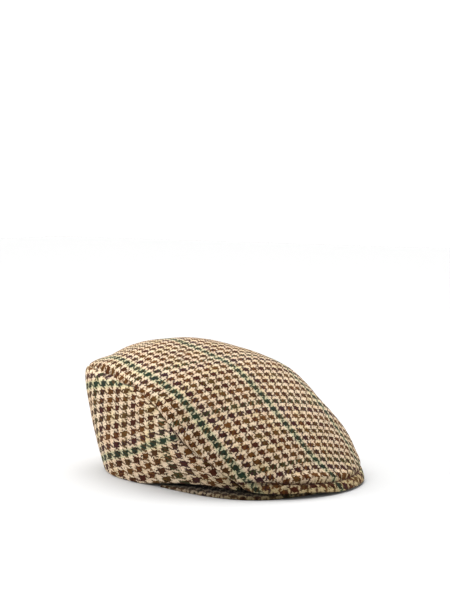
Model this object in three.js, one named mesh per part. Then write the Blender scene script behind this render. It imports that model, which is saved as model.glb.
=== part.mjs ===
// A tweed flat cap (ivy cap) resting on a table, in millimetres.
// +Z is up, -Y is the front of the cap and +X is the wearer's left.
// The crown is one long top panel and two side panels that meet in a seam at the centre back.
// The top panel is drawn forward over a stiff crescent peak and ends in a soft lip above its rim.
import * as THREE from "three";

// ---- Driving dimensions ----
const CLOTH = 2.4;              // tweed with its fused backing
const HEM_FOLD = 4.0;           // cloth turned in twice along the lower edge of the side panels
const SEAM_GAP = 0.3;           // clearance between neighbouring pieces
const CORNER = 0.24;            // share of each side seam that runs round the back of the crown
const DIMPLE_DEPTH = 3.5;       // pucker where the seam turns from the back to the side
const DIMPLE_RADIUS = 13;
const DIMPLE_X = 88;
const DIMPLE_Y = 48;
const PEAK_THICKNESS = 4.0;
const TIP_THICKNESS = 2.0;      // the peak board thins out at its two ends
const TIP_REACH = 0.2;          // share of the rim over which it does so
const PEAK_ARCH = 5.0;          // rise of the peak from its rim to the head opening at the front
const OPENING_HALF_WIDTH = 78.5; // the inner edge of the peak is half of an oval
const OPENING_BACK_Y = 5;
const OPENING_FRONT_Y = -78;

// ---- Mesh density ----
const CROWN_ROWS = 34;
const CROWN_COLUMNS = 22;       // even, so that one column lies on the centre line
const SIDE_RISE = 7;
const PEAK_STATIONS = 40;
const PEAK_RIBS = 4;

// ---- Section tables: the first column is the place along the curve ----
function table(names, rows) {
  return rows.map((row) => Object.fromEntries(names.map((name, i) => [name, row[i]])));
}

// Centre line of the top panel, from the seam at the back to the lip at the front.
// Each crossing arc wraps through this many degrees on either side of the centre line.
const CROWN = table(
  ["at", "y", "z", "fullness", "wrap"],
  [
    [0.00, 135.5, 94.5, 1.00, 60],
    [0.09, 107.0, 104.5, 1.00, 42],
    [0.20, 92.5, 112.5, 1.00, 50],
    [0.38, 48.5, 119.0, 1.02, 66],
    [0.56, -2.0, 110.0, 0.93, 76],
    [0.70, -34.0, 99.0, 0.93, 84],
    [0.86, -94.0, 56.0, 1.22, 90],
    [1.00, -133.5, 7.0, 0.86, 90],
  ],
);

// Side edge of the top panel, from the corner at the back down to the end of the lip.
const EDGE = table(
  ["at", "x", "y", "z"],
  [
    [0.00, 61.5, 106.5, 97.5],
    [0.09, 73.5, 89.0, 98.0],
    [0.18, 81.0, 70.0, 96.5],
    [0.28, 88.0, 48.5, 93.0],
    [0.38, 94.5, 27.5, 87.5],
    [0.47, 99.5, 9.0, 80.0],
    [0.56, 103.0, -8.0, 70.5],
    [0.63, 104.0, -19.0, 60.5],
    [0.70, 103.0, -28.5, 49.5],
    [0.77, 99.5, -40.5, 38.5],
    [0.85, 94.5, -54.0, 28.5],
    [0.92, 87.5, -65.5, 19.0],
    [1.00, 74.5, -75.5, 10.5],
  ],
);

// Lower edge of a side panel, from the centre back to its front end.
// The first row lies past the centre, so that the two panels meet in a smooth curve.
const HEM = table(
  ["at", "x", "y", "z", "belly"],
  [
    [-0.16, -43, 103, 0.0, 4],
    [0.00, 0, 117, 0.0, 4],
    [0.16, 43, 103, 0.0, 4],
    [0.30, 68, 75, 0.0, 4],
    [0.42, 79, 45, 0.0, 4],
    [0.50, 82, 27, 0.4, 3.5],
    [0.58, 84, 8, 2.6, 3],
    [0.66, 84.5, -10, 4.2, 3],
    [0.78, 84, -38, 5.8, 2],
    [1.00, 75, -75, 5.8, 0],
  ],
);

// Outer rim of the peak, from one end to the middle of the front; z is its underside.
// The last row lies past the middle, so that the two halves meet in a smooth curve.
const RIM = table(
  ["at", "x", "y", "z"],
  [
    [0.00, 82.5, 5, 0.0],
    [0.18, 87.5, -28, 0.0],
    [0.34, 89.0, -52, 0.0],
    [0.48, 85.5, -75, 0.0],
    [0.62, 74.5, -96, 0.0],
    [0.76, 57.0, -115, 0.4],
    [0.88, 32.0, -129, 1.6],
    [1.00, 0.0, -135.5, 2.3],
    [1.12, -32.0, -129, 1.6],
  ],
);

// ---- Curves ----

// Smooth curve through one column of a table.
function through(rows, column, at) {
  const last = rows.length - 1;
  const slope = (i) => (rows[i + 1][column] - rows[i][column]) / (rows[i + 1].at - rows[i].at);
  const tangent = (i) => {
    if (i === 0) {
      return 1.5 * slope(0) - 0.5 * tangent(1);
    }
    if (i === last) {
      return 1.5 * slope(last - 1) - 0.5 * tangent(last - 1);
    }
    const before = rows[i].at - rows[i - 1].at;
    const after = rows[i + 1].at - rows[i].at;
    return (slope(i) * before + slope(i - 1) * after) / (before + after);
  };
  let i = 0;
  while (i < last - 1 && at > rows[i + 1].at) {
    i += 1;
  }
  const span = rows[i + 1].at - rows[i].at;
  const t = (at - rows[i].at) / span;
  const rise = rows[i + 1][column] - rows[i][column];
  const start = tangent(i) * span;
  const end = tangent(i + 1) * span;
  const bend = (1 - t) * (start - rise) - t * (end - rise);
  return rows[i][column] + t * rise + t * (1 - t) * bend;
}

// Point of the top panel: v runs from the back to the front, side from -1 to 1 across.
function crownPoint(v, side) {
  const mid = (column) => through(CROWN, column, v);
  const edge = (column) => through(EDGE, column, v);
  const wrap = THREE.MathUtils.degToRad(mid("wrap"));
  const span = 1 - Math.cos(wrap);
  const lift = Math.max(0, (Math.cos(wrap * side) - Math.cos(wrap)) / span);
  const x = (edge("x") * Math.sin(wrap * side)) / Math.sin(wrap);
  const y = edge("y") + (mid("y") - edge("y")) * lift;
  const z = edge("z") + (mid("z") - edge("z")) * lift ** mid("fullness");
  return new THREE.Vector3(x, y, z - dimple(x, y));
}

// Depth of the pucker at a place on the crown.
function dimple(x, y) {
  const away = Math.hypot(Math.abs(x) - DIMPLE_X, y - DIMPLE_Y) / DIMPLE_RADIUS;
  return DIMPLE_DEPTH * Math.exp(-away * away);
}

function hemPoint(at) {
  const z = Math.max(0, through(HEM, "z", at));
  return new THREE.Vector3(through(HEM, "x", at), through(HEM, "y", at), z);
}

// ---- Shells ----

// Unit normals of a grid of points, each the mean of the faces around its point.
// A push of 1 or -1 picks the side they point to.
function gridNormals(grid, push) {
  const normals = grid.map((row) => row.map(() => new THREE.Vector3()));
  for (let i = 0; i < grid.length - 1; i += 1) {
    for (let j = 0; j < grid[0].length - 1; j += 1) {
      const rising = grid[i + 1][j + 1].clone().sub(grid[i][j]);
      const falling = grid[i][j + 1].clone().sub(grid[i + 1][j]);
      const face = rising.cross(falling).multiplyScalar(push);
      [normals[i][j], normals[i][j + 1], normals[i + 1][j], normals[i + 1][j + 1]].forEach((sum) =>
        sum.add(face),
      );
    }
  }
  normals.flat().forEach((normal) => normal.normalize());
  return normals;
}

// Closed solid between an outer grid and an inner grid of the same size.
// flip turns the faces over where the outer grid runs the other way round.
function shell(outer, inner, flip) {
  const rows = outer.length;
  const columns = outer[0].length;
  const corners = [...outer.flat(), ...inner.flat()];
  const index = [];
  const at = (i, j, layer) => layer * rows * columns + i * columns + j;
  const quad = (a, b, c, d) => {
    const shorter = corners[a].distanceTo(corners[c]) <= corners[b].distanceTo(corners[d]);
    const faces = shorter ? [a, b, c, a, c, d] : [a, b, d, b, c, d];
    index.push(...(flip ? faces.reverse() : faces));
  };
  for (let i = 0; i < rows - 1; i += 1) {
    for (let j = 0; j < columns - 1; j += 1) {
      quad(at(i, j, 0), at(i + 1, j, 0), at(i + 1, j + 1, 0), at(i, j + 1, 0));
      quad(at(i, j, 1), at(i, j + 1, 1), at(i + 1, j + 1, 1), at(i + 1, j, 1));
    }
  }
  const right = columns - 1;
  for (let i = 0; i < rows - 1; i += 1) {
    quad(at(i, 0, 0), at(i, 0, 1), at(i + 1, 0, 1), at(i + 1, 0, 0));
    quad(at(i, right, 0), at(i + 1, right, 0), at(i + 1, right, 1), at(i, right, 1));
  }
  const front = rows - 1;
  for (let j = 0; j < columns - 1; j += 1) {
    quad(at(0, j, 0), at(0, j + 1, 0), at(0, j + 1, 1), at(0, j, 1));
    quad(at(front, j, 0), at(front, j, 1), at(front, j + 1, 1), at(front, j + 1, 0));
  }
  const places = corners.flatMap((point) => point.toArray());
  const geometry = new THREE.BufferGeometry();
  geometry.setAttribute("position", new THREE.Float32BufferAttribute(places, 3));
  geometry.setIndex(index);
  geometry.computeVertexNormals();
  return geometry;
}

// ---- The seam between the top panel and a side panel ----

const crown = [];
for (let i = 0; i < CROWN_ROWS; i += 1) {
  const row = [];
  for (let j = 0; j <= CROWN_COLUMNS; j += 1) {
    row.push(crownPoint(i / (CROWN_ROWS - 1), (2 * j) / CROWN_COLUMNS - 1));
  }
  crown.push(row);
}
const crownNormals = gridNormals(crown, 1);

// Stops along the seam, from the centre back round one side (1 or -1) to its front end.
function seamOf(sign) {
  const middle = CROWN_COLUMNS / 2;
  const stops = [];
  for (let k = 0; k <= middle; k += 1) {
    stops.push({ at: (CORNER * k) / middle, row: 0, column: middle + sign * k });
  }
  for (let i = 1; i < CROWN_ROWS; i += 1) {
    const at = CORNER + ((1 - CORNER) * i) / (CROWN_ROWS - 1);
    stops.push({ at, row: i, column: middle + sign * middle });
  }
  return stops.map((stop) => ({ ...stop, point: crown[stop.row][stop.column] }));
}

// Outer face of a side panel: one column at each stop of the seam, rising from the hem.
function sideGrid(sign, seam) {
  return seam.map((stop) => {
    const foot = hemPoint(stop.at);
    const ahead = hemPoint(Math.min(1, stop.at + 0.01)).sub(hemPoint(Math.max(0, stop.at - 0.01)));
    const out = new THREE.Vector3(-ahead.y * sign, ahead.x, 0).normalize();
    foot.x *= sign;
    const column = [];
    for (let k = 0; k <= SIDE_RISE; k += 1) {
      const t = k / SIDE_RISE;
      const swell = through(HEM, "belly", stop.at) * 4 * t * (1 - t);
      column.push(foot.clone().lerp(stop.point, t).addScaledVector(out, swell));
    }
    return column;
  });
}

// At the seam both walls turn in along one mitre, and each stands half the gap away from it.
function seamMitres(seam, side, sideNormals) {
  const last = seam.length - 1;
  return seam.map((stop, k) => {
    const after = seam[Math.min(last, k + 1)].point;
    const before = k === 0 ? after.clone() : seam[k - 1].point;
    if (k === 0) {
      before.x *= -1;
    }
    const along = after.clone().sub(before).normalize();
    const outward = crownNormals[stop.row][stop.column].clone().add(sideNormals[k][SIDE_RISE]);
    outward.addScaledVector(along, -outward.dot(along));
    if (k === last) {
      outward.z = 0;
    }
    outward.normalize();
    const apart = outward.clone().cross(along).normalize();
    const down = side[k][SIDE_RISE - 1].clone().sub(stop.point);
    apart.multiplyScalar((Math.sign(apart.dot(down)) * SEAM_GAP) / 2);
    return { inward: outward.negate(), apart };
  });
}

// ---- Pieces ----

const tweed = { color: "#967f65", roughness: 0.95, metalness: 0 };

function piece(name, geometry) {
  const mesh = new THREE.Mesh(geometry, new THREE.MeshStandardMaterial(tweed));
  mesh.name = name;
  return mesh;
}

// One side panel, with its lower edge turned in and its back edge on the centre-back seam.
function sidePanel(name, sign) {
  const seam = seamOf(sign);
  const outer = sideGrid(sign, seam);
  const normals = gridNormals(outer, -sign);
  normals[0].forEach((normal) => normal.setX(0).normalize());
  const mitres = seamMitres(seam, outer, normals);
  const inner = outer.map((column, k) =>
    column.map((point, rise) => {
      const inward = normals[k][rise].clone().negate();
      if (rise === 0) {
        return point.clone().addScaledVector(inward.setZ(0).normalize(), HEM_FOLD);
      }
      return point.clone().addScaledVector(rise === SIDE_RISE ? mitres[k].inward : inward, CLOTH);
    }),
  );
  [outer, inner].forEach((grid) => {
    grid.forEach((column, k) => {
      column[SIDE_RISE] = column[SIDE_RISE].clone().add(mitres[k].apart);
    });
    grid[0].forEach((point) => point.setX((sign * SEAM_GAP) / 2));
  });
  return { mesh: piece(name, shell(outer, inner, sign > 0)), seam, mitres };
}

// The top panel, which shares both seams and ends in a lip that is cut level above the peak.
function topPanel(name, sides) {
  const outer = crown.map((row) => row.map((point) => point.clone()));
  const lip = CROWN_ROWS - 1;
  const inner = crown.map((row, i) =>
    row.map((point, j) => {
      const inward = crownNormals[i][j].clone().negate();
      if (i === lip) {
        inward.setZ(0).normalize();
      }
      return point.clone().addScaledVector(inward, CLOTH);
    }),
  );
  sides.forEach(({ seam, mitres }) => {
    seam.forEach(({ row, column, point }, k) => {
      outer[row][column].copy(point).sub(mitres[k].apart);
      inner[row][column].copy(outer[row][column]).addScaledVector(mitres[k].inward, CLOTH);
    });
  });
  return piece(name, shell(outer, inner, false));
}

// The peak: a crescent board between its rim and the head opening, thinner at its two ends.
function peak(name) {
  const top = [];
  const bottom = [];
  for (let i = 0; i <= PEAK_STATIONS; i += 1) {
    const turn = (2 * i) / PEAK_STATIONS - 1;
    const at = 1 - Math.abs(turn);
    const swing = (at * Math.PI) / 2;
    const rimZ = Math.max(0, through(RIM, "z", at));
    const rim = new THREE.Vector3(through(RIM, "x", at), through(RIM, "y", at), rimZ);
    const mouth = new THREE.Vector3(
      OPENING_HALF_WIDTH * Math.cos(swing),
      THREE.MathUtils.lerp(OPENING_BACK_Y, OPENING_FRONT_Y, Math.sin(swing)),
      rim.z + PEAK_ARCH * Math.sin(swing) ** 2,
    );
    const thick = THREE.MathUtils.lerp(TIP_THICKNESS, PEAK_THICKNESS, Math.min(1, at / TIP_REACH));
    const under = [];
    for (let k = 0; k <= PEAK_RIBS; k += 1) {
      const t = k / PEAK_RIBS;
      const point = rim.clone().lerp(mouth, t);
      point.z = THREE.MathUtils.lerp(rim.z, mouth.z, t * t);
      point.x *= Math.sign(turn) || 1;
      under.push(point);
    }
    bottom.push(under);
    top.push(under.map((point) => point.clone().setZ(point.z + thick)));
  }
  return piece(name, shell(top, bottom, false));
}

const left = sidePanel("side_panel_left", 1);
const right = sidePanel("side_panel_right", -1);

const cap = new THREE.Group();
cap.add(topPanel("top_panel", [left, right]), left.mesh, right.mesh, peak("peak"));

export default cap;
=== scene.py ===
import math

import bpy
import numpy as np
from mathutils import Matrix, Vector, noise
from mathutils.kdtree import KDTree


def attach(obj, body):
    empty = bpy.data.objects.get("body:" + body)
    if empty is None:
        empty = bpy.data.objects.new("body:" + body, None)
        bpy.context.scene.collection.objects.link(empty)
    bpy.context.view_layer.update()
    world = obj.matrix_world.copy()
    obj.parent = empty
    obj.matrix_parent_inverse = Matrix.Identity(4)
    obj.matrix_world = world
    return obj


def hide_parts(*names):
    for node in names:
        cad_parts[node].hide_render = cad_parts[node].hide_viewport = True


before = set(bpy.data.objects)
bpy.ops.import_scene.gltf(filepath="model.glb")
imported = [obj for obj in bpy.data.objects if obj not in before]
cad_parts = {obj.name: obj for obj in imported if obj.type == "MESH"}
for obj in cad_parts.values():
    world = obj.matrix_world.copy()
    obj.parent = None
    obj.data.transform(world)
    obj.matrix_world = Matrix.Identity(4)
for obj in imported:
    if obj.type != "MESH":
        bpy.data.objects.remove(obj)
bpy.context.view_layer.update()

# A tweed flat cap lying on a table. Lengths are in millimetres until a mesh is made.
# +Z is up, -Y is the front of the cap and +X is the wearer's left.


# ---- Top panel -----------------------------------------------------------------------
# One long panel of houndstooth tweed, 2.4 mm thick with its fused backing. It is steamed to
# a dome, sewn to the two side panels along both sides and across the back, and drawn forward
# over the peak, where its edge is turned under and caught down by one row of stitches.

# Centre line from the back seam to the lip: place, y, z, fullness, and the angle in degrees
# that each crossing arc wraps through on either side of it.
CROWN = np.array([
    [0.00, 135.5, 94.5, 1.00, 60],
    [0.09, 107.0, 104.5, 1.00, 42],
    [0.20, 92.5, 112.5, 1.00, 50],
    [0.38, 48.5, 119.0, 1.02, 66],
    [0.56, -2.0, 110.0, 0.93, 76],
    [0.70, -34.0, 99.0, 0.93, 84],
    [0.86, -94.0, 56.0, 1.22, 90],
    [1.00, -133.5, 7.0, 0.86, 90],
])
# Side edge from the corner at the back down to the end of the lip: place, x, y, z.
EDGE = np.array([
    [0.00, 61.5, 106.5, 97.5],
    [0.09, 73.5, 89.0, 98.0],
    [0.18, 81.0, 70.0, 96.5],
    [0.28, 88.0, 48.5, 93.0],
    [0.38, 94.5, 27.5, 87.5],
    [0.47, 99.5, 9.0, 80.0],
    [0.56, 103.0, -8.0, 70.5],
    [0.63, 104.0, -19.0, 60.5],
    [0.70, 103.0, -28.5, 49.5],
    [0.77, 99.5, -40.5, 38.5],
    [0.85, 94.5, -54.0, 28.5],
    [0.92, 87.5, -65.5, 19.0],
    [1.00, 74.5, -75.5, 10.5],
])
CLOTH = 2.4
DOME_LENGTH, DOME_WIDTH, STEP = 290, 200, 2.2  # its spread and the step of its grid
# A shallow dimple in the crown above and behind each ear.
DIMPLE_DEPTH, DIMPLE_RADIUS, DIMPLE_X, DIMPLE_Y = 3.5, 13.0, 88.0, 48.0
# At a seam the cloth rolls over, leans to the seam's mitre, where its own slant still counts
# for the least share, and puckers where it was eased.
SEAM_GAP, SEAM_ROLL, MITRE_REACH, LEAST = 0.15, 1.1, 3.0, 0.02
PUCKER_DEPTH, PUCKER_WIDTH, PUCKER_PITCH, PUCKER_START = 1.0, 4.5, 6.5, 2.0
EASE, EASE_SHARE = 8.0, 0.42  # both panels ease over into the seam within this distance
# A crease in the seam above and behind each ear, this far round from the centre back, and
# below it a soft upright fold in the wall.
CREASE_AT, CREASE_LENGTH, CREASE_DEPTH, CREASE_WIDTH = 108.0, 18.0, 14.0, 5.0
FOLD_AT, FOLD_DEPTH, FOLD_WIDTH = 126.0, 1.4, 6.0
# Steamed cloth is a little uneven: depth and size of its slack and of the ripples on it.
SLACK, SLACK_SIZE, RIPPLE, RIPPLE_SIZE, STILL_REACH = 0.5, 34.0, 0.18, 12.0, 12.0
# The lip is turned under. Its stitched-down band swells a little, with a groove for the
# stitches behind it, and above them the cloth puffs out.
LIP_ROLL, BAND, BAND_SWELL = 1.1, 7.0, 0.3
GROOVE_DEPTH, GROOVE_WIDTH = 2.2, 1.1
PUFF, PUFF_ABOVE, PUFF_WIDTH = 1.3, 3.6, 2.8
# These fade in from the side seams, are pressed flatter on the left of the nose, and grow
# deeper from the middle outward: how much, from where, and over what distance.
BAND_FROM, BAND_FADE = 2.0, 10.0
PRESSED, PRESSED_FROM, PRESSED_FADE = 0.6, 8.0, 25.0
DEEPER, DEEPER_FADE = 0.7, 40.0
# The lip is drawn down to this height above the table, lower still at the front and a little
# higher in its corners, and at the front it comes out over the rim.
LIP_LEVEL, LIP_FRONT_LEVEL, LIP_REACH = 4.7, 1.5, 20.0
LIP_CORNER_LIFT, LIP_CORNER = 2.0, 12.0
FRONT_Y, FRONT_FADE, FRONT_X, FRONT_SIDE_FADE = 98.0, 14.0, -42.0, 32.0
LIP_OUT, LIP_OUT_FROM, LIP_OUT_REACH = 0.7, 2.7, 9.0
STITCH_PITCH, STITCH_LENGTH, STITCH_RADIUS, STITCH_LIFT = 4.4, 3.5, 0.55, 0.2
# One stitch as places along it from 0 to 1, its width at each of them, and its sides round.
STITCH_PLACES, STITCH_SWELL = [0, 0.1, 0.3, 0.7, 0.9, 1], [0.45, 0.85, 1, 1, 0.85, 0.45]
STITCH_SIDES = 6


def through(table, at):
    """Points of a smooth curve through the rows of a table."""
    at = np.asarray(at, float)
    place, values = table[:, 0], table[:, 1:]
    span = np.diff(place)[:, None]
    slope = np.diff(values, axis=0) / span
    lean = np.empty_like(values)
    lean[1:-1] = (slope[1:] * span[:-1] + slope[:-1] * span[1:]) / (span[:-1] + span[1:])
    lean[0] = 1.5 * slope[0] - 0.5 * lean[1]
    lean[-1] = 1.5 * slope[-1] - 0.5 * lean[-2]
    i = np.clip(np.searchsorted(place, at) - 1, 0, len(place) - 2)
    t = ((at - place[i]) / span[i, 0])[..., None]
    rise = values[i + 1] - values[i]
    bend = (1 - t) * (lean[i] * span[i] - rise) - t * (lean[i + 1] * span[i] - rise)
    return values[i] + t * rise + t * (1 - t) * bend


def dome(v, side):
    """Points of the top panel: v runs from the back to the lip, side from -1 to 1 across."""
    v, side = np.broadcast_arrays(v, side)
    mid, edge = through(CROWN, v), through(EDGE, v)
    wrap = np.radians(mid[..., 3])
    lift = np.clip((np.cos(wrap * side) - np.cos(wrap)) / (1 - np.cos(wrap)), 0, 1)
    x = edge[..., 0] * np.sin(wrap * side) / np.sin(wrap)
    y = edge[..., 1] + (mid[..., 0] - edge[..., 1]) * lift
    z = edge[..., 2] + (mid[..., 1] - edge[..., 2]) * lift ** mid[..., 2]
    away = np.hypot(abs(x) - DIMPLE_X, y - DIMPLE_Y) / DIMPLE_RADIUS
    return np.stack([x, y, z - DIMPLE_DEPTH * np.exp(-away * away)], -1)


def rising(value, start, reach):
    """0 up to a start, 1 from a reach beyond it, and evenly between."""
    return np.clip((value - start) / reach, 0, 1)


def hill(distance, width):
    """1 at no distance, falling off smoothly over a width."""
    return np.exp(-((distance / width) ** 2))


def normals(grid, push):
    """Unit normals of a grid of points; a push of 1 or -1 picks the side they point to."""
    face = push * np.cross(grid[1:, 1:] - grid[:-1, :-1], grid[:-1, 1:] - grid[1:, :-1])
    total = np.zeros_like(grid)
    for i in (slice(None, -1), slice(1, None)):
        for j in (slice(None, -1), slice(1, None)):
            total[i, j] += face
    return unit(total)


def unit(vectors):
    """Vectors made 1 long."""
    return vectors / np.maximum(np.linalg.norm(vectors, axis=-1, keepdims=True), 1e-12)


def close_set(length, step, near, far=None):
    """Places from 0 to 1 along a length: close together near both ends, then a step apart."""
    far = np.asarray(near if far is None else far) / length
    near = np.asarray(near) / length
    count = round((1 - near[-1] - far[-1]) * length / step)
    middle = np.linspace(near[-1], 1 - far[-1], count + 1)[1:-1]
    return np.concatenate([near, middle, 1 - far[::-1]])


def nearest(line, points):
    """For each point, its distance to a line of points and the place on that line."""
    tree = KDTree(len(line))
    for i, place in enumerate(line):
        tree.insert(place, i)
    tree.balance()
    found = [tree.find(point) for point in points.reshape(-1, 3)]
    shape = points.shape[:-1]
    away = np.array([f[2] for f in found]).reshape(shape)
    return away, np.array([f[1] for f in found]).reshape(shape)


def rolled(away, radius):
    """How deep a surface has rolled under at a distance from its edge."""
    inside = 1 - rising(away, 0, radius)
    return radius * (1 - np.sqrt(1 - inside * inside))


def eased(away, crease):
    """How far a surface has eased inward at a distance from its seam."""
    ease = EASE_SHARE * EASE * (1 - rising(away, 0, EASE)) ** 2
    return (ease + CREASE_DEPTH * crease * hill(away, CREASE_WIDTH))[..., None]


NOISE_TO_ONE = 1.6  # brings Blender's noise to about -1 to 1


def drift(points, size, seed):
    """Smooth uneven values of about -1 to 1 that change over a given size."""
    flat = points.reshape(-1, 3) / size + seed
    return np.array([noise.noise(p) for p in flat]).reshape(points.shape[:-1]) * NOISE_TO_ONE


def puckered(line, place, away):
    """How far the cloth stands up or down beside a seam that it was eased into."""
    gather = drift(line, PUCKER_PITCH, 3.0)[place]
    return PUCKER_DEPTH * gather * hill(away, PUCKER_WIDTH) * rising(away, 0, PUCKER_START)


# Distances from an edge, and from the lip, to the first lines of a grid.
NEAR_EDGE = [0, 0.3, 0.7, 1.2, 1.8, 2.5, 3.4, 4.5, 5.8, 7.4]
NEAR_LIP = [0, 0.2, 0.5, 0.8, 1.2, 1.6, 2.1, 2.6, 3.1, 3.6, *np.arange(4, 13, 0.45)]
rows = close_set(DOME_LENGTH, STEP, NEAR_EDGE, NEAR_LIP)
columns = close_set(DOME_WIDTH, STEP, NEAR_EDGE) * 2 - 1
middle = len(columns) // 2
if len(columns) % 2 == 0:
    columns = np.insert(columns, middle, 0.0)
crown = dome(rows[:, None], columns[None])
crown_normals = normals(crown, 1)
# The two edges run on into each other at the back corners, where the sheet has no clear
# slant, so it is taken from a few rows and columns further in.
FURTHER, CORNER_FROM, CORNER_FADE = 9, 2.5, 5.0
for corner, further in ((0, FURTHER), (-1, -1 - FURTHER)):
    close = np.linalg.norm(crown - crown[0, corner], axis=-1)
    close = (1 - rising(close, CORNER_FROM, CORNER_FADE))[..., None]
    crown_normals = unit(crown_normals * (1 - close) + crown_normals[FURTHER, further] * close)


def seam_stops(sign):
    """Rows and columns of the top panel along one seam, from the centre back to the lip."""
    back = [(0, middle + sign * k) for k in range(middle + 1)]
    side = [(i, middle + sign * middle) for i in range(1, len(rows))]
    return np.array(back + side)


# The seams need both panels' slants, so the side panels' walls are laid out here too; they
# are made up in their own section below.
# Lower edge of a side panel: place, x, y, z, and how far the wall swells outward.
HEM = np.array([
    [-0.16, -43, 103, 0.0, 4],
    [0.00, 0, 117, 0.0, 4],
    [0.16, 43, 103, 0.0, 4],
    [0.30, 68, 75, 0.0, 4],
    [0.42, 79, 45, 0.0, 4],
    [0.50, 82, 27, 0.4, 3.5],
    [0.58, 84, 8, 3.0, 3],
    [0.66, 84.5, -10, 5.4, 3],
    [0.78, 84, -38, 7.4, 2],
    [1.00, 75, -75, 5.4, 0],
])
CORNER = 0.24  # share of a side seam that runs round the back
WALL_HEIGHT = 95
# Round the back, up to this place, the wall stands out a little below the seam; the last
# number makes the hump's curve 1 high.
SHOULDER, SHOULDER_END, SHOULDER_FADE, SHOULDER_CURVE = 2.0, 0.42, 0.12, 17.6


def hem(at):
    """The wall's lower edge at places along it, never below the table."""
    foot = through(HEM, at)[..., :3]
    foot[..., 2] = np.maximum(foot[..., 2], 0)
    return foot


def side_wall(sign):
    """One side panel's outer face, its place along the seam, and its rises from hem to seam."""
    stops = seam_stops(sign)
    at = np.where(
        stops[:, 0] == 0,
        CORNER * abs(columns[stops[:, 1]]),
        CORNER + (1 - CORNER) * rows[stops[:, 0]],
    )
    foot = hem(at)
    ahead = hem(np.minimum(1, at + 0.01)) - hem(np.maximum(0, at - 0.01))
    out = unit(np.stack([-ahead[:, 1] * sign, ahead[:, 0], 0 * at], -1))
    foot[:, 0] *= sign
    rises = close_set(WALL_HEIGHT, STEP, NEAR_EDGE)
    swell = through(HEM, at)[:, 3]
    t = rises[None, :, None]
    seam = crown[stops[:, 0], stops[:, 1]]
    wall = foot[:, None] * (1 - t) + seam[:, None] * t
    bulge = swell[:, None] * 4 * rises * (1 - rises)
    behind = rising(SHOULDER_END - at, 0, SHOULDER_FADE)[:, None]
    bulge += SHOULDER * behind * SHOULDER_CURVE * rises**6 * (1 - rises)
    wall += bulge[..., None] * out[:, None]
    return stops, at, rises, wall


SMOOTHINGS = 6  # rounds of smoothing along the seam, where rows give way to columns


def seam_mitres(stops, wall, wall_normals):
    """Directions along the seam's mitre into the cap, and across it away from the top."""
    seam = crown[stops[:, 0], stops[:, 1]]
    ahead = np.roll(seam, -1, axis=0)
    ahead[-1] = seam[-1]
    behind = np.roll(seam, 1, axis=0)
    behind[0] = ahead[0] * [-1, 1, 1]
    along = unit(ahead - behind)
    outward = crown_normals[stops[:, 0], stops[:, 1]] + wall_normals[:, -1]
    for _ in range(SMOOTHINGS):
        for track in (along, outward):
            track[1:-1] = (track[:-2] + 2 * track[1:-1] + track[2:]) / 4
    outward -= np.sum(outward * along, -1, keepdims=True) * along
    outward[-1, 2] = 0
    outward = unit(outward)
    apart = unit(np.cross(outward, along))
    down = wall[:, -4] - seam
    return -outward, apart * np.sign(np.sum(apart * down, -1, keepdims=True)) * SEAM_GAP / 2


sides = {}
for sign in (1, -1):
    stops, at, rises, wall = side_wall(sign)
    wall_normals = normals(wall, -sign)
    wall_normals[0, :, 0] = 0
    wall_normals[0] = unit(wall_normals[0])
    inward, apart = seam_mitres(stops, wall, wall_normals)
    seam = crown[stops[:, 0], stops[:, 1]]
    round_seam = np.cumsum(np.linalg.norm(np.diff(seam, axis=0, prepend=seam[:1]), axis=1))
    crease = hill(round_seam - CREASE_AT, CREASE_LENGTH)
    fold = FOLD_DEPTH * hill(round_seam - FOLD_AT, FOLD_WIDTH)
    sides[sign] = dict(stops=stops, at=at, rises=rises, wall=wall, normals=wall_normals,
                       inward=inward, apart=apart, seam=seam, crease=crease, fold=fold)


CLOTH_STEP, CLOTH_REACH = 2.0, 146  # the cloth is measured in these steps, so far across
FRONT_PLANE, BACK_PLANE, START_PLANE = -137, 140, -15


def flat_cloth():
    """Lengths across and along the dome, measured over it on planes of constant y."""
    v, side = np.linspace(-0.02, 1.02, 261)[:, None], np.linspace(0, 1, 161)[None]
    sheet = dome(v, side)
    planes = np.arange(FRONT_PLANE, BACK_PLANE, CLOTH_STEP)
    cut = np.empty((len(planes), sheet.shape[1], 3))
    for j in range(sheet.shape[1]):
        line = sheet[::-1, j]
        y = np.maximum.accumulate(line[:, 1])
        cut[:, j, 0] = np.interp(planes, y, line[:, 0])
        cut[:, j, 2] = np.interp(planes, y, line[:, 2])
    cut[:, :, 1] = planes[:, None]
    gone = (planes[:, None] < sheet[-1, :, 1]) | (planes[:, None] > sheet[0, :, 1])
    step = np.linalg.norm(np.diff(cut, axis=1), axis=2)
    step[gone[:, 1:] | gone[:, :-1]] = 0
    across = np.concatenate([np.zeros((len(planes), 1)), np.cumsum(step, 1)], 1)
    places = np.arange(0, CLOTH_REACH, CLOTH_STEP)
    lines = np.full((len(planes), len(places), 3), np.nan)
    for i in range(len(planes)):
        ok = ~gone[i]
        if ok.sum() > 1:
            for a in range(3):
                lines[i, :, a] = np.interp(places, across[i, ok], cut[i, ok, a])
            lines[i, places > across[i, ok].max() + CLOTH_STEP] = np.nan
    along = np.zeros(lines.shape[:2])
    start = int(np.argmin(abs(planes - START_PLANE)))
    for i in range(start - 1, -1, -1):
        along[i] = along[i + 1] + np.nan_to_num(np.linalg.norm(lines[i] - lines[i + 1], axis=1))
    for i in range(start + 1, len(planes)):
        along[i] = along[i - 1] - np.nan_to_num(np.linalg.norm(lines[i] - lines[i - 1], axis=1))
    return planes, across, along


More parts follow.
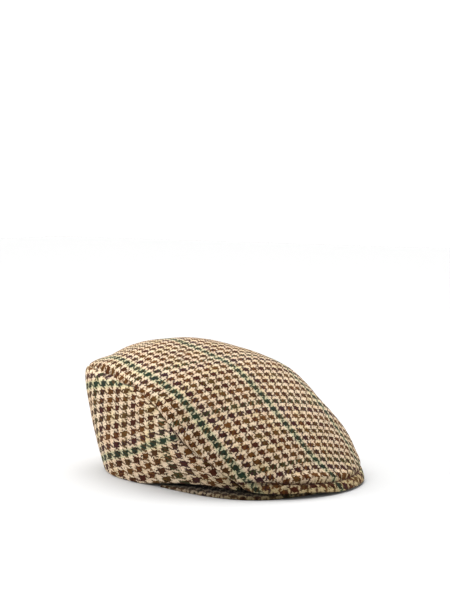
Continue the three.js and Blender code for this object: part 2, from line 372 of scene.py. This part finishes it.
def between(field, row, column):
    """Values read between the rows and columns of a field."""
    row = np.clip(row, 0, field.shape[0] - 1.001)
    column = np.clip(column, 0, field.shape[1] - 1.001)
    i, j = row.astype(int), column.astype(int)
    f, g = row - i, column - j
    near = field[i, j] * (1 - g) + field[i, j + 1] * g
    far = field[i + 1, j] * (1 - g) + field[i + 1, j + 1] * g
    return near * (1 - f) + far * f


planes, across, along = flat_cloth()
plane = (crown[..., 1] - planes[0]) / CLOTH_STEP
u = between(across, plane, abs(columns)[None] * np.ones_like(plane) * (across.shape[1] - 1))
v = between(along, plane, u / CLOTH_STEP)
u *= np.sign(columns)[None]

# The panel is cut a little askew and drawn by the steam, so the checks bow over the dome.
# These count them at places this many mm across the cap (the first row) and along it
# towards the front (the first column); a check is about 9 mm.
CHECKS_ACROSS = np.array([
    [0, -130, -80, -30, 20, 70, 130],
    [-160, -24.6, -18.7, -10.9, -4.0, 2.3, 9.6],
    [-100, -20.5, -14.6, -7.4, -1.4, 4.2, 11.0],
    [-50, -17.4, -11.4, -5.3, -0.3, 4.6, 11.3],
    [0, -15.6, -10.3, -4.6, 0.3, 5.2, 12.0],
    [50, -14.4, -9.7, -4.0, 1.3, 6.4, 13.2],
    [100, -13.8, -9.6, -3.8, 2.2, 7.8, 14.6],
    [125, -13.9, -10.1, -4.3, 2.0, 7.6, 14.4],
    [150, -14.7, -11.5, -5.8, 0.7, 6.6, 13.4],
    [165, -15.2, -12.2, -6.7, -0.2, 5.8, 12.6],
])
CHECKS_ALONG = np.array([
    [0, -130, -80, -30, 20, 70, 130],
    [-160, -3.6, -11.1, -15.6, -18.1, -17.5, -15.1],
    [-100, 0.0, -5.0, -9.3, -11.0, -10.4, -8.0],
    [-50, 3.8, -1.4, -4.2, -5.0, -4.6, -2.5],
    [0, 8.6, 3.8, 1.4, 0.7, 1.2, 3.2],
    [50, 14.6, 9.8, 7.3, 6.2, 6.7, 8.7],
    [100, 20.9, 15.9, 13.0, 11.5, 11.7, 13.7],
    [125, 24.6, 19.4, 16.4, 14.8, 14.9, 17.0],
    [150, 28.4, 23.1, 19.9, 18.3, 18.6, 20.7],
    [165, 30.4, 25.2, 21.9, 20.3, 20.6, 22.7],
])


FINE = 61  # places each way that a table of checks is filled in to


def checks(table, along, across):
    """The count of checks at places on a panel, read smoothly between a table's places."""
    fine_along = np.linspace(table[1, 0], table[-1, 0], FINE)
    fine_across = np.linspace(table[0, 1], table[0, -1], FINE)
    lines = through(table[1:], fine_along)
    field = through(np.column_stack([table[0, 1:], lines.T]), fine_across).T
    row = (along - fine_along[0]) / (fine_along[1] - fine_along[0])
    return between(field, row, (across - fine_across[0]) / (fine_across[1] - fine_across[0]))


IN_STEP = 4  # checks that bring this panel's green line, one in eight, into step with the dyes
crown_weave = np.stack([checks(CHECKS_ACROSS, v, u), checks(CHECKS_ALONG, v, u) - IN_STEP], -1)


class Value:
    """A socket in a material. Sums of values add the nodes that work them out."""

    def __init__(self, tree, socket=None):
        self.tree, self.socket = tree, socket

    def node(self, kind, settings=None, output=0, **sockets):
        made = self.tree.nodes.new(kind)
        for name, setting in (settings or {}).items():
            if name == "stops":
                ramp = made.color_ramp
                while len(ramp.elements) < len(setting):
                    ramp.elements.new(1.0)
                for stop, (place, colour) in zip(ramp.elements, setting):
                    stop.position, stop.color = place, colour
            elif name == "interpolation":
                made.color_ramp.interpolation = setting
            else:
                setattr(made, name, setting)
        for name, value in sockets.items():
            index = int(name[1:]) if name[0] == "i" and name[1:].isdigit() else None
            place = made.inputs[index if index is not None else name.replace("_", " ")]
            if isinstance(value, Value):
                self.tree.links.new(value.socket, place)
            else:
                place.default_value = value
        return Value(self.tree, made.outputs[output] if made.outputs else None)

    def sum(self, operation, *terms):
        sockets = {f"i{k}": term for k, term in enumerate(terms)}
        return self.node("ShaderNodeMath", {"operation": operation}, **sockets)

    def __add__(self, other):
        return self.sum("ADD", self, other)

    def __sub__(self, other):
        return self.sum("SUBTRACT", self, other)

    def __rsub__(self, other):
        return self.sum("SUBTRACT", other, self)

    def __mul__(self, other):
        return self.sum("MULTIPLY", self, other)

    def __mod__(self, other):
        return self.sum("FLOORED_MODULO", self, other)

    def __lt__(self, other):
        return self.sum("LESS_THAN", self, other)

    def __abs__(self):
        return self.sum("ABSOLUTE", self)

    def floor(self):
        return self.sum("FLOOR", self)

    def mix(self, first, second):
        """A colour this far from the first to the second."""
        return self.node(
            "ShaderNodeMix", {"data_type": "RGBA"}, output=2, i0=self, i6=first, i7=second
        )

    __radd__, __rmul__ = __add__, __mul__


def dye(red, green, blue):
    """A colour given in the usual 0 to 255, as Blender wants it."""
    parts = [c / 255 for c in (red, green, blue)]
    return [c / 12.92 if c <= 0.04045 else ((c + 0.055) / 1.055) ** 2.4 for c in parts] + [1]


# The yarns' colours: the dark groups, the light yarn with its patches, the light yarn under
# the fuzz of the green one, and the light yarn darkened low at the front, as painted shade.
BURGUNDY, CHESTNUT, AUBERGINE = dye(58, 26, 14), dye(84, 52, 22), dye(50, 28, 30)
UMBER, OLIVE, GREEN, MOSS = dye(62, 38, 16), dye(74, 54, 24), dye(27, 43, 32), dye(48, 49, 28)
CREAM, PEACH, STRAW = dye(196, 178, 152), dye(190, 163, 136), dye(188, 172, 130)
SAGE, PAINTED_LIP_SHADE = dye(156, 160, 124), dye(158, 140, 98)
DYES = [AUBERGINE, CHESTNUT, BURGUNDY, OLIVE, BURGUNDY, CHESTNUT, UMBER]
CYCLE, GREEN_AT = 8, 4  # dark groups before the dyes begin again, and which one is green
GREEN_HALF, GREEN_TINT = 0.45, 0.5  # half the width of its fuzz, in checks, and its strength
THREADS, TWILL = 8, 4  # threads in a check, and in one round of the 2/2 twill
WANDER, WANDER_SCALE = 0.16, 2.6  # how far the yarns stray, in checks, and how often
LOOSE = 0.09  # share of crossings where the thread below shows
DARK_HALF = 0.29  # half the width of the dark group, as a share of a check
BLEND = 0.07  # how much the thread below shows through the one on top
FIBRES, THREAD_FIBRES = 1500.0, 1800.0  # how fine the fibres are in the cloth and in thread
# Patches in the light yarn: how close together, the noise they begin at, and how soon.
PEACH_SCALE, PEACH_FROM, PEACH_SOON = 0.9, 0.35, 2.2
STRAW_SCALE, STRAW_FROM, STRAW_SOON = 0.45, 0.51, 2.6
MOTTLE, FLECK, SHADE = 0.4, 0.6, 0.53  # shade by thread and by fibre, and of the darkest
RELIEF_SHADE, LOW_SHADE = 0.3, 0.76  # painted shade of a yarn's hump, and of the low place beside it
ROUND, HUMP = 0.6, 0.4  # how far a yarn falls off to its sides, and to the ends of its float
YARN_BUMP, FIBRE_BUMP = 0.8, 0.5
# Painted shade on the light yarn below this height and in front of this line, in metres,
# with how soon it sets in on the way there, for each metre, and how far it goes.
PAINTED_SHADE_BELOW, PAINTED_SHADE_SOON, PAINTED_SHADE_BEFORE, PAINTED_SHADE_AHEAD, PAINTED_SHADE_MOST = 0.017, 110, 0.05, 30, 0.8


def tweed(name, strength=1.0):
    """Houndstooth tweed: four light threads and four dark ones both ways, in a 2/2 twill."""
    material = bpy.data.materials.new(name)
    material.use_nodes = True
    tree = material.node_tree
    tree.nodes.clear()
    new = Value(tree)
    place = new.node("ShaderNodeUVMap", {"uv_map": "weave"})
    spot = new.node("ShaderNodeTexCoord", output="Object")

    # the yarns stray a little from a straight line
    wander = new.node("ShaderNodeTexNoise", {"noise_dimensions": "2D"}, output="Color",
                      Vector=place, Scale=WANDER_SCALE, Detail=3.0)
    wander = new.node("ShaderNodeVectorMath", {"operation": "SUBTRACT"}, i0=wander,
                      i1=(0.5, 0.5, 0.5))
    wander = new.node("ShaderNodeVectorMath", {"operation": "SCALE"}, i0=wander, Scale=WANDER)
    woven = new.node("ShaderNodeVectorMath", {"operation": "ADD"}, i0=place, i1=wander)
    warp = new.node("ShaderNodeSeparateXYZ", Vector=woven, output=0)
    weft = new.node("ShaderNodeSeparateXYZ", Vector=woven, output=1)

    warp_thread, weft_thread = (warp * THREADS).floor(), (weft * THREADS).floor()
    thread = new.node("ShaderNodeCombineXYZ", X=warp_thread, Y=weft_thread)
    fleck = new.node("ShaderNodeTexWhiteNoise", {"noise_dimensions": "2D"}, Vector=thread)
    # two over, two under; here and there the thread below shows instead of the one on top
    warp_up = abs(((warp_thread + weft_thread + 2) % TWILL < 1.5) - (fleck < LOOSE))

    # one dark group in each check, dyed in turn; every eighth is green
    def group(place, green):
        dyes = [green] + DYES
        stops = [(k / CYCLE, dyes[(k - GREEN_AT) % CYCLE]) for k in range(CYCLE)]
        turned = (place * (1 / CYCLE)) % 1.0
        return new.node("ShaderNodeValToRGB", {"interpolation": "CONSTANT", "stops": stops},
                        Fac=turned)

    patch = new.node("ShaderNodeTexNoise", {"noise_dimensions": "2D"}, Vector=place,
                     Scale=PEACH_SCALE, Detail=1.0)
    straw = new.node("ShaderNodeTexNoise", {"noise_dimensions": "2D"}, Vector=place,
                     Scale=STRAW_SCALE, Detail=2.0)
    light = ((patch - PEACH_FROM) * PEACH_SOON).mix(CREAM, PEACH)
    light = ((straw - STRAW_FROM) * STRAW_SOON).mix(light, STRAW)
    # the light yarn is darkened and yellowed low at the front of the lip, as painted shade
    low = new.node("ShaderNodeSeparateXYZ", Vector=spot, output=2)
    forward = new.node("ShaderNodeSeparateXYZ", Vector=spot, output=1)
    low = new.node("ShaderNodeClamp", Value=(PAINTED_SHADE_BELOW - low) * PAINTED_SHADE_SOON)
    forward = new.node("ShaderNodeClamp", Value=(-PAINTED_SHADE_BEFORE - forward) * PAINTED_SHADE_AHEAD)
    light = (low * forward * PAINTED_SHADE_MOST).mix(light, PAINTED_LIP_SHADE)
    dark_warp = abs(warp % 1.0 - 0.5) < DARK_HALF
    dark_weft = abs(weft % 1.0 - 0.5) < DARK_HALF
    # the fuzz of the green warp tints the threads that cross it
    stripe = (abs(warp % CYCLE - (GREEN_AT + 0.5)) < GREEN_HALF) * GREEN_TINT
    light = stripe.mix(light, SAGE)
    warp_colour = dark_warp.mix(light, group(warp, GREEN))
    weft_colour = dark_weft.mix(light, stripe.mix(group(weft, MOSS), GREEN))
    # the fuzz of the thread below shows a little through the one on top
    colour = (warp_up * (1 - 2 * BLEND) + BLEND).mix(weft_colour, warp_colour)

    # each yarn is spun from many dyed fibres, so it is flecked lighter and darker
    fibre = new.node("ShaderNodeTexNoise", {"noise_dimensions": "3D"}, Vector=spot,
                     Scale=FIBRES, Detail=2.0)
    mottle = (fleck * 7.0) % 1.0  # another number for each crossing, from the same noise
    # a strength below 1 darkens the whole cloth as painted shade; the peak uses it
    shade = (mottle * MOTTLE + fibre * FLECK + SHADE) * strength
    # a yarn is round across and humps over the ones it crosses, and is painted darker where it
    # dips, as painted shade
    across = warp_up * (abs((warp * THREADS) % 1.0 - 0.5) * 2) + (1 - warp_up) * (
        abs((weft * THREADS) % 1.0 - 0.5) * 2)
    over = warp_up * (abs((warp_thread + weft * THREADS + 2) % TWILL - 1)) + (1 - warp_up) * (
        abs((warp * THREADS + weft_thread + 2) % TWILL - 3))
    relief = 1 - across * across * ROUND - over * over * HUMP
    shade = shade * (relief * RELIEF_SHADE + LOW_SHADE)
    grey = new.node("ShaderNodeCombineXYZ", X=shade, Y=shade, Z=shade)
    colour = new.node("ShaderNodeMix", {"data_type": "RGBA", "blend_type": "MULTIPLY"},
                      output=2, i0=1.0, i6=colour, i7=grey)

    height = relief * YARN_BUMP + fibre * FIBRE_BUMP
    bump = new.node("ShaderNodeBump", Height=height, Strength=0.6, Distance=0.0004)
    shader = new.node("ShaderNodeBsdfPrincipled", Base_Color=colour, Normal=bump, Roughness=0.95)
    sockets = shader.socket.node.inputs
    sockets["Specular IOR Level"].default_value = 0.04
    sockets["Sheen Weight"].default_value = 0.03
    sockets["Sheen Roughness"].default_value = 0.5
    new.node("ShaderNodeOutputMaterial", Surface=shader)
    return material


PALER = 2.2  # how much lighter the light fibres of the thread are


def thread(name, colour):
    """A spun sewing thread."""
    material = bpy.data.materials.new(name)
    material.use_nodes = True
    material.node_tree.nodes.clear()
    new = Value(material.node_tree)
    spot = new.node("ShaderNodeTexCoord", output="Object")
    ply = new.node("ShaderNodeTexNoise", Vector=spot, Scale=THREAD_FIBRES, Detail=2.0)
    paler = [min(1, PALER * c) for c in colour[:3]] + [1]
    bump = new.node("ShaderNodeBump", Height=ply, Strength=0.5, Distance=0.0002)
    shader = new.node("ShaderNodeBsdfPrincipled", Base_Color=ply.mix(colour, paler),
                      Normal=bump, Roughness=0.8)
    new.node("ShaderNodeOutputMaterial", Surface=shader)
    return material


def stitches(line, upward):
    """Short rounded stitches laid end to end along a line of points, a little apart."""
    arc = np.cumsum(np.linalg.norm(np.diff(line, axis=0, prepend=line[:1]), axis=1))
    rings, around = len(STITCH_PLACES), STITCH_SIDES
    turns = np.arange(around) * 2 * math.pi / around
    swell = STITCH_RADIUS * np.array(STITCH_SWELL)[:, None, None]
    places, faces = [], []
    for start in np.arange(STITCH_PITCH, arc[-1] - STITCH_PITCH, STITCH_PITCH):
        at = start + STITCH_LENGTH * np.array(STITCH_PLACES)
        centre, up = ([np.interp(at, arc, a[:, k]) for k in range(3)] for a in (line, upward))
        centre, up = np.array(centre).T, unit(np.array(up).T)
        aside = unit(np.cross(np.gradient(centre, axis=0), up))
        ring = np.cos(turns)[:, None] * up[:, None] + np.sin(turns)[:, None] * aside[:, None]
        first = rings * around * len(places)
        last = first + rings * around - 1
        places.append(centre[:, None] + swell * ring)
        faces += [[first + k for k in range(around)], [last - k for k in range(around)]]
        for i in range(rings - 1):
            for k in range(around):
                a, b = first + around * i + k, first + around * i + (k + 1) % around
                faces.append([a, a + around, b + around, b])
    return np.concatenate(places).reshape(-1, 3), faces


def panel(name, outer, inner, weave, turned, material, sewing=None):
    """A closed piece of cloth between its outer and inner faces, with any sewing on it."""
    high, wide = outer.shape[:2]
    count = high * wide
    index = np.arange(count).reshape(high, wide)
    face = np.stack([index[:-1, :-1], index[1:, :-1], index[1:, 1:], index[:-1, 1:]], -1)
    faces = [face.reshape(-1, 4), face.reshape(-1, 4)[:, ::-1] + count]
    for edge, flip in ((index[:, 0], 1), (index[:, -1], -1), (index[0], -1), (index[-1], 1)):
        strip = np.stack([edge[:-1], edge[:-1] + count, edge[1:] + count, edge[1:]], -1)
        faces.append(strip[:, ::flip])
    faces = np.concatenate(faces)
    if turned:
        faces = faces[:, ::-1]
    places = np.concatenate([outer.reshape(-1, 3), inner.reshape(-1, 3)])
    weave, faces, cloth = np.tile(weave.reshape(-1, 2), (2, 1)), faces.tolist(), len(faces)
    if sewing:
        laid, more = stitches(*sewing)
        faces += [[k + len(places) for k in face] for face in more]
        places = np.concatenate([places, laid])
        weave = np.concatenate([weave, np.zeros((len(laid), 2))])
    mesh = bpy.data.meshes.new(name)
    mesh.from_pydata((places / 1000).tolist(), [], faces)
    corner = np.empty(len(mesh.loops), np.int32)
    mesh.loops.foreach_get("vertex_index", corner)
    layer = mesh.uv_layers.new(name="weave")
    layer.data.foreach_set("uv", weave[corner].astype(np.float32).ravel())
    mesh.polygons.foreach_set("use_smooth", [True] * len(mesh.polygons))
    mesh.materials.append(material)
    if sewing:
        mesh.materials.append(thread("thread", BURGUNDY))
        kinds = (np.arange(len(mesh.polygons)) >= cloth).astype(np.int32)
        mesh.polygons.foreach_set("material_index", kinds)
    made = bpy.data.objects.new(name, mesh)
    bpy.context.scene.collection.objects.link(made)
    return made


# distances to the seams and to the lip, and the nearest places on them
border = np.concatenate([sides[-1]["seam"][::-1], sides[1]["seam"][1:]])
to_seam, seam_place = nearest(border, crown)
inward = np.concatenate([sides[-1]["inward"][::-1], sides[1]["inward"][1:]])[seam_place]
lip = dome(1.0, np.linspace(-1, 1, 1201))
to_lip, lip_place = nearest(lip, crown)
lip_x, lip_y, lip_z = np.moveaxis(lip[lip_place], -1, 0)
level = crown_normals[-1] * [1, 1, 0]
lip_inward = -unit(level)[None] * np.ones((len(rows), 1, 1))

near_seam = (1 - rising(to_seam, 0, MITRE_REACH))[..., None]
near_lip = (1 - rising(to_lip, 0, MITRE_REACH))[..., None]
way = unit(-crown_normals * np.clip(1 - near_seam - near_lip, LEAST, 1)
           + inward * near_seam + lip_inward * near_lip)

# puckers where the two layers were eased together, and the soft unevenness of steamed cloth
pucker = puckered(border, seam_place, to_seam)
slack = SLACK * drift(crown, SLACK_SIZE, 11.0) + RIPPLE * drift(crown, RIPPLE_SIZE, 5.0)
slack *= rising(np.minimum(to_seam, to_lip), 0, STILL_REACH)

# the band along the lip, its groove, and the cloth that puffs out above the stitches
swell = BAND_SWELL * np.sqrt(np.clip(1 - (to_lip / (BAND / 2) - 1) ** 2, 0, 1))
swell += PUFF * hill(to_lip - BAND - PUFF_ABOVE, PUFF_WIDTH)
groove = GROOVE_DEPTH * hill(to_lip - BAND, GROOVE_WIDTH)
fade = rising(to_seam, BAND_FROM, BAND_FADE)
fade *= 1 - PRESSED * rising(lip_x, PRESSED_FROM, PRESSED_FADE)
fade *= 1 + DEEPER * rising(abs(lip_x), 0, DEEPER_FADE)
proud = pucker + slack + fade * (swell - groove)

# the sheet's outer face, eased over into the seams and drawn down along the lip
crease = np.concatenate([sides[-1]["crease"][::-1], sides[1]["crease"][1:]])[seam_place]
face = crown + crown_normals * proud[..., None] + way * eased(to_seam, crease)
front = rising(-lip_y, FRONT_Y, FRONT_FADE) * rising(lip_x, FRONT_X, FRONT_SIDE_FADE)
fall = lip_z - LIP_LEVEL * (1 - front) - LIP_FRONT_LEVEL * front
fall -= LIP_CORNER_LIFT * hill(to_seam, LIP_CORNER)
fall *= (1 - rising(to_lip, 0, LIP_REACH)) ** 2
face[..., 2] -= fall
out = LIP_OUT * front * (1 - rising(to_lip, LIP_OUT_FROM, LIP_OUT_REACH))
face -= lip_inward * out[..., None]
depth = np.maximum(rolled(to_seam, SEAM_ROLL), rolled(to_lip, LIP_ROLL))
outer = face + way * depth[..., None]
inner = face + way * (CLOTH - rolled(to_lip, LIP_ROLL))[..., None]
for side in sides.values():
    i, j = side["stops"].T
    outer[i, j] -= side["apart"]
    inner[i, j] -= side["apart"]

# the row of stitches lies in the groove, and ends a few columns short of the side seams
SHORT = 6
line, upward = [], []
for j in range(SHORT, len(columns) - SHORT):
    k = np.argmax(to_lip[:, j] < BAND)
    share = (to_lip[k - 1, j] - BAND) / (to_lip[k - 1, j] - to_lip[k, j])
    line.append(outer[k - 1, j] * (1 - share) + outer[k, j] * share)
    upward.append(crown_normals[k, j])
line, upward = np.array(line), np.array(upward)
line += STITCH_LIFT * upward

tweed_cloth = tweed("tweed")
top_panel = panel("top_panel_cloth", outer, inner, crown_weave, False, tweed_cloth,
                  (line, upward))
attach(top_panel, "root")
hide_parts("top_panel")


# ---- Side panels ---------------------------------------------------------------------
# Two walls of the same tweed, left and right, sewn to the top panel along their upper edges
# and to each other down the centre back. The lower edge is turned in twice to a soft hem,
# and in front of the ears it rises to lie inside the peak.
HEM_ROLL, HEM_FOLD, HEM_TALL, HEM_END = 1.6, 4.0, 14.0, 1.5
LOW_WALL, WALL_GROWTH = 9.6, 24.0  # no hem on a wall this low, a full one this much higher
FOLD_RISE = 0.7  # keeps the widest part of the fold below the middle of the wall
SIDE_SLACK, SIDE_SLACK_SIZE, SIDE_RIPPLE, SIDE_RIPPLE_SIZE = 0.6, 30.0, 0.2, 12.0
# The panels are cut across the cloth, so their checks are counted from the hem up and from
# the back round to the front: mm up from the hem (first row), mm round (first column).
SIDE_CHECKS_UP = np.array([
    [0, 0, 30, 60, 90, 120],
    [0, 4.4, 8.0, 11.2, 14.5, 17.8],
    [60, 2.4, 6.1, 9.5, 13.0, 16.4],
    [100, 1.3, 4.8, 8.4, 12.2, 16.0],
    [140, 0.2, 3.7, 7.4, 11.6, 15.6],
    [180, -0.8, 2.5, 6.4, 10.9, 15.2],
    [220, -2.2, 1.1, 5.0, 9.9, 14.6],
    [270, -4.6, -1.4, 2.7, 8.0, 13.0],
])
SIDE_CHECKS_ROUND = np.array([
    [0, 0, 30, 60, 90, 120],
    [0, -11.0, -12.0, -13.0, -14.0, -15.0],
    [60, -4.2, -5.0, -6.0, -7.2, -8.4],
    [100, -1.5, -1.9, -2.8, -3.6, -4.4],
    [140, 0.7, 0.8, 0.3, -0.3, -1.0],
    [180, 3.2, 3.7, 3.5, 3.1, 2.6],
    [220, 5.4, 6.1, 6.2, 5.9, 5.5],
    [270, 8.6, 9.6, 10.0, 9.8, 9.6],
])
SIDE_IN_STEP = 1  # checks that bring the panels' green line into step with the dyes

for sign, word in ((1, "left"), (-1, "right")):
    side = sides[sign]
    wall, at, rises = side["wall"], side["at"], side["rises"]
    step = np.linalg.norm(np.diff(wall, axis=1), axis=2)
    climb = np.concatenate([np.zeros((len(at), 1)), np.cumsum(step, 1)], 1)
    girth = np.linalg.norm(np.diff(wall[:, len(rises) // 2], axis=0), axis=1)
    girth = np.concatenate([[0], np.cumsum(girth)])[:, None] * np.ones_like(climb)
    weave = np.stack([checks(SIDE_CHECKS_UP, girth, climb) + SIDE_IN_STEP,
                      -sign * checks(SIDE_CHECKS_ROUND, girth, climb)], -1)
    to_seam, place = nearest(side["seam"], wall)
    to_back, to_hem = abs(wall[..., 0]), climb

    # towards each edge the cloth leans to its mitre, or in level from the hem
    near_seam = (1 - rising(to_seam, 0, MITRE_REACH))[..., None]
    near_back = (1 - rising(to_back, 0, MITRE_REACH))[..., None]
    near_hem = (1 - rising(to_hem, 0, MITRE_REACH))[..., None]
    level = -unit(side["normals"] * [1, 1, 0])
    back = level[0][None] * np.ones((len(at), 1, 1)) * [0, 1, 1]
    left_over = np.clip(1 - near_seam - near_back - near_hem, LEAST, 1)
    way = unit(-side["normals"] * left_over + side["inward"][place] * near_seam
               + unit(back) * near_back + level * near_hem)

    pucker = puckered(side["seam"], place, to_seam)
    slack = (SIDE_SLACK * drift(wall, SIDE_SLACK_SIZE, 21.0)
             + SIDE_RIPPLE * drift(wall, SIDE_RIPPLE_SIZE, 8.0))
    slack *= rising(np.minimum(np.minimum(to_seam, to_hem), to_back), 0, STILL_REACH)
    slack -= side["fold"][:, None] * np.sin(math.pi * rises**FOLD_RISE)
    face = wall + (pucker + slack)[..., None] * side["normals"]
    face = face + way * eased(to_seam, side["crease"][place])
    face[..., 2] -= fall[tuple(side["stops"].T)][:, None] * rises**2

    # the hem is turned in to a double thickness, except where the wall gets too low for it
    depth = np.maximum(rolled(to_seam, SEAM_ROLL), rolled(to_back, SEAM_ROLL))
    depth = np.maximum(depth, rolled(to_hem, HEM_ROLL))
    fold = rising(HEM_TALL - to_hem, 0, HEM_END) * (HEM_FOLD - CLOTH)
    fold *= rising(climb[:, -1:], LOW_WALL, WALL_GROWTH)
    thick = CLOTH + fold - rolled(to_hem, HEM_ROLL)
    outer, inner = face + way * depth[..., None], face + way * thick[..., None]
    for grid in (outer, inner):
        grid[:, -1] += side["apart"]
        grid[0, :, 0] = sign * SEAM_GAP / 2
    made = panel(f"side_panel_{word}_cloth", outer, inner, weave, sign > 0, tweed_cloth)
    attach(made, "root")
    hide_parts(f"side_panel_{word}")


# ---- Peak ----------------------------------------------------------------------------
# A stiff crescent board covered in the same tweed, with a rounded rim. Its inner edge is half
# of an oval, sewn inside the front of the head opening; only its rim shows under the lip.

# Outer rim from one end to the middle of the front: place, x, y, and z of the underside. The
# last row runs on past the middle.
RIM = np.array([
    [0.00, 82.5, 5, 0.0],
    [0.18, 87.5, -28, 0.0],
    [0.34, 89.0, -52, 0.0],
    [0.48, 85.5, -75, 0.0],
    [0.62, 74.0, -95.5, 0.0],
    [0.76, 54.5, -111.0, 0.8],
    [0.88, 29.5, -124.0, 2.0],
    [1.00, 0.0, -129.0, 3.0],
    [1.12, -29.5, -124.0, 2.0],
])
RIM_LENGTH, PEAK_DEPTH, PEAK_STEP = 440, 50, 2.0
NEAR_RIM = [0, 0.15, 0.4, 0.8, 1.3, 1.9, 2.8, 4.0]
PEAK_THICKNESS, TIP_THICKNESS, TIP_REACH, PEAK_ARCH = 3.2, 2.0, 0.2, 5.0
MOUTH_HALF_WIDTH, MOUTH_BACK, MOUTH_FRONT = 78.5, 5.0, -78.0
OVER_ROLL, UNDER_ROLL = 0.6, 0.3  # shares of the thickness that the rim is rounded by
CHECK = 8.9  # one check of the cloth
WRAP = 1.4  # cloth drawn down the rim for each millimetre that the rim drops
PEAK_PAINTED_SHADE = 0.38  # the peak's cloth is darkened as painted shade, for the shadow it lies in under the lip

turn = close_set(RIM_LENGTH, STEP, NEAR_EDGE) * 2 - 1
reach = close_set(PEAK_DEPTH, PEAK_STEP, NEAR_RIM)
at = 1 - abs(turn)
swing = at * math.pi / 2
rim = through(RIM, at)
rim[:, 2] = np.maximum(rim[:, 2], 0)
mouth = np.stack([
    MOUTH_HALF_WIDTH * np.cos(swing),
    MOUTH_BACK + (MOUTH_FRONT - MOUTH_BACK) * np.sin(swing),
    rim[:, 2] + PEAK_ARCH * np.sin(swing) ** 2,
], -1)
t = reach[None, :, None]
under = rim[:, None] * (1 - t) + mouth[:, None] * t
under[..., 2] = rim[:, None, 2] * (1 - t[..., 0] ** 2) + mouth[:, None, 2] * t[..., 0] ** 2
under[..., 0] *= np.where(turn < 0, -1, 1)[:, None]
thick = TIP_THICKNESS + (PEAK_THICKNESS - TIP_THICKNESS) * np.minimum(1, at / TIP_REACH)
over = under + np.stack([0 * thick, 0 * thick, thick], -1)[:, None]
length = np.linalg.norm(np.diff(under, axis=1), axis=2).sum(1)[:, None]
to_edge = np.minimum(reach, 1 - reach)[None] * length
drop = rolled(to_edge, (thick * OVER_ROLL)[:, None])
under[..., 2] += rolled(to_edge, (thick * UNDER_ROLL)[:, None])
over[..., 2] -= drop
# the cloth is wrapped over the rim, so its checks run on down the edge
outward = unit((under[:, :1] - under[:, -1:]) * [1, 1, 0])
wrapped = (under + WRAP * outward * drop[..., None]) / CHECK
weave = np.stack([wrapped[..., 0], -wrapped[..., 1]], -1)
peak = panel("peak_cloth", over, under, weave, False, tweed("tweed_peak", PEAK_PAINTED_SHADE))
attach(peak, "root")
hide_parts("peak")


# ---- Floor, light and camera ---------------------------------------------------------
# A plain white table under a soft white studio light, seen from low down on the wearer's
# right, with the front of the cap to the right.
FLOOR, TABLE_WHITE = 8.0, (0.464, 0.464, 0.464, 1)
# The room glows bright white up to this height round the horizon, and dims overhead.
HORIZON, CEILING = [1.32, 1.32, 1.32, 1], [0.33, 0.33, 0.33, 1]
HORIZON_TO, CEILING_FROM = 0.12, 0.3
SKY_POWER, SKY_SPREAD, SKY_FROM = 5.7, 75, (0.1, 0.3, 1.0)
# The round softboxes: name, width, power and place, in metres and watts.
SOFTBOXES = [
    ("softbox_behind", 1.2, 38, (-1.3, 1.6, 0.7)),
    ("softbox_front", 1.0, 13, (1.2, -1.6, 0.5)),
]
CAMERA_AZIMUTH, CAMERA_ELEVATION, CAMERA_DISTANCE = -52.8, 9.33, 1.344
AIM = Vector((0, 0, 0.048))
LENS, SIGHT_END = 89.1, 20
UPWARD, SIDEWAYS = 0.081, 0.0016  # tipped up a little, so the cap lies low in the view

mesh = bpy.data.meshes.new("floor")
corners = [(-1, -1), (1, -1), (1, 1), (-1, 1)]
mesh.from_pydata([(x * FLOOR / 2, y * FLOOR / 2, 0) for x, y in corners], [], [(0, 1, 2, 3)])
floor = bpy.data.objects.new("floor", mesh)
bpy.context.scene.collection.objects.link(floor)
paint = bpy.data.materials.new("white_table")
paint.use_nodes = True
shader = paint.node_tree.nodes["Principled BSDF"]
shader.inputs["Base Color"].default_value = TABLE_WHITE
shader.inputs["Roughness"].default_value = 0.9
shader.inputs["Specular IOR Level"].default_value = 0.1
mesh.materials.append(paint)

world = bpy.data.worlds.new("studio")
bpy.context.scene.world = world
world.use_nodes = True
world.node_tree.nodes.clear()
room = Value(world.node_tree)
up = room.node("ShaderNodeTexCoord", output="Generated")
up = room.node("ShaderNodeSeparateXYZ", Vector=up, output=2)
stops = [(HORIZON_TO, HORIZON), (CEILING_FROM, CEILING)]
glow = room.node("ShaderNodeValToRGB", {"stops": stops}, Fac=up)
glow = room.node("ShaderNodeBackground", Color=glow)
room.node("ShaderNodeOutputWorld", Surface=glow)


def lamp(name, light, toward, place=(0, 0, 0)):
    """A light at a place, shining from the side that a direction points to."""
    made = bpy.data.objects.new(name, light)
    made.location = place
    made.rotation_mode = "QUATERNION"
    made.rotation_quaternion = toward.to_track_quat("Z", "Y")
    bpy.context.scene.collection.objects.link(made)


light = bpy.data.lights.new("skylight", "SUN")
light.energy, light.angle = SKY_POWER, math.radians(SKY_SPREAD)
lamp("skylight", light, Vector(SKY_FROM))
for name, width, power, place in SOFTBOXES:
    light = bpy.data.lights.new(name, "AREA")
    light.shape, light.size, light.energy = "DISK", width, power
    lamp(name, light, Vector(place) - AIM, place)

camera_data = bpy.data.cameras.new("camera")
camera_data.lens, camera_data.clip_end = LENS, SIGHT_END
camera = bpy.data.objects.new("camera", camera_data)
azimuth, elevation = math.radians(CAMERA_AZIMUTH), math.radians(CAMERA_ELEVATION)
back = Vector((math.sin(azimuth) * math.cos(elevation),
               -math.cos(azimuth) * math.cos(elevation), math.sin(elevation)))
right = Vector((math.cos(azimuth), math.sin(azimuth), 0))
camera.location = AIM + back * CAMERA_DISTANCE
camera.rotation_mode = "QUATERNION"
sight = UPWARD * back.cross(right) + SIDEWAYS * right - back
camera.rotation_quaternion = sight.to_track_quat("-Z", "Y")
bpy.context.scene.collection.objects.link(camera)
bpy.context.scene.camera = camera
bpy.context.scene.view_settings.view_transform = "Standard"
